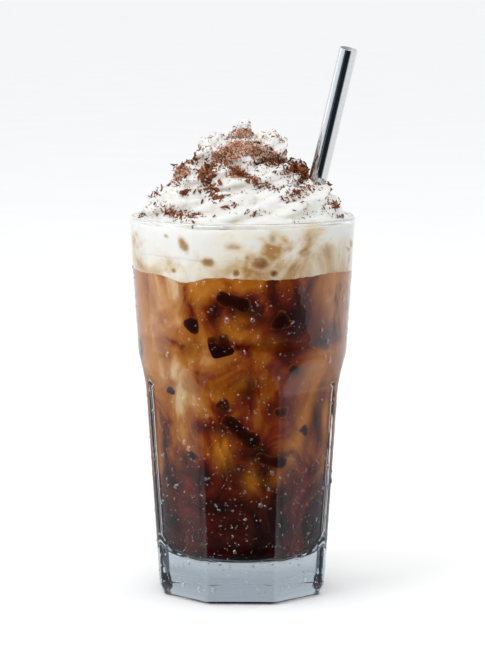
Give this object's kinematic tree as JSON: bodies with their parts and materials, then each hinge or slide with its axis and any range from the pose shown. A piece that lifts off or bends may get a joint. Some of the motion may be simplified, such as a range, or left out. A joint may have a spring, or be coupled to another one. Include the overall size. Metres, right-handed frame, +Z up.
{
  "type": "iced coffee",
  "caption": "Tall panelled glass of iced coffee with a milky foam layer, piped whipped cream with chocolate shavings and a steel drinking straw.",
  "frame": {"origin": "centre of the tumbler's foot, on the surface it stands on", "axes": "+Z up along the tumbler's axis; -Y faces the side from which the straw leans to the right; one panel faces -Y"},
  "size_m": [0.0893, 0.089, 0.2167],
  "materials": {
    "glass": "clear pressed glass, wet outside",
    "coffee": null,
    "milk_foam": null,
    "whipped_cream": null,
    "steel": "polished stainless steel"
  },
  "bodies": {
    "root": {"glass": "glass", "coffee": "coffee", "milk_foam": "milk_foam", "whipped_cream": "whipped_cream", "straw": "steel"}
  },
  "joints": []
}
